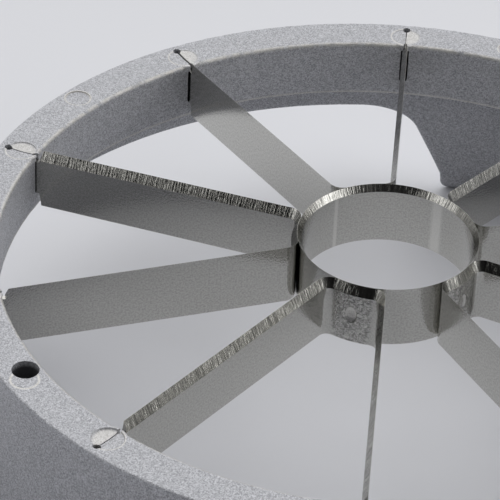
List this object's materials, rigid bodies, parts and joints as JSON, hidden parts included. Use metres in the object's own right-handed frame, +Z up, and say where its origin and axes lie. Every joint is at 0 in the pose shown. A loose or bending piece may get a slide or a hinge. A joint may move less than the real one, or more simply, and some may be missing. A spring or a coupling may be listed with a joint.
{
  "type": "apple slicer",
  "caption": "Hand-held apple slicer and corer: a cast ring with palm handles on two sides, radial blades bent from steel strip and a sharpened core ring in the middle.",
  "frame": {"origin": "on the surface that it stands on, under the middle of the core ring", "axes": "+X along the two handles, towards the handle opposite the peg hole, +Z up, towards the cutting edges, as it stands upside down on its handles"},
  "size_m": [0.175, 0.1132, 0.0304],
  "materials": {
    "cast_aluminium": "die-cast aluminium with a fine-grained satin silver coat",
    "core_steel": "rolled stainless steel tube, ground on its edge",
    "blade_steel": "cold-rolled stainless steel strip, ground across its edge",
    "weld_steel": "spot weld, dull and mottled by heat"
  },
  "bodies": {
    "root": {"frame_casting": "cast_aluminium", "core_ring": "core_steel", "blade_strip_1": "blade_steel", "blade_strip_2": "blade_steel", "blade_strip_3": "blade_steel", "blade_strip_4": "blade_steel", "blade_strip_5": "blade_steel", "spot_welds": "weld_steel"}
  },
  "joints": []
}
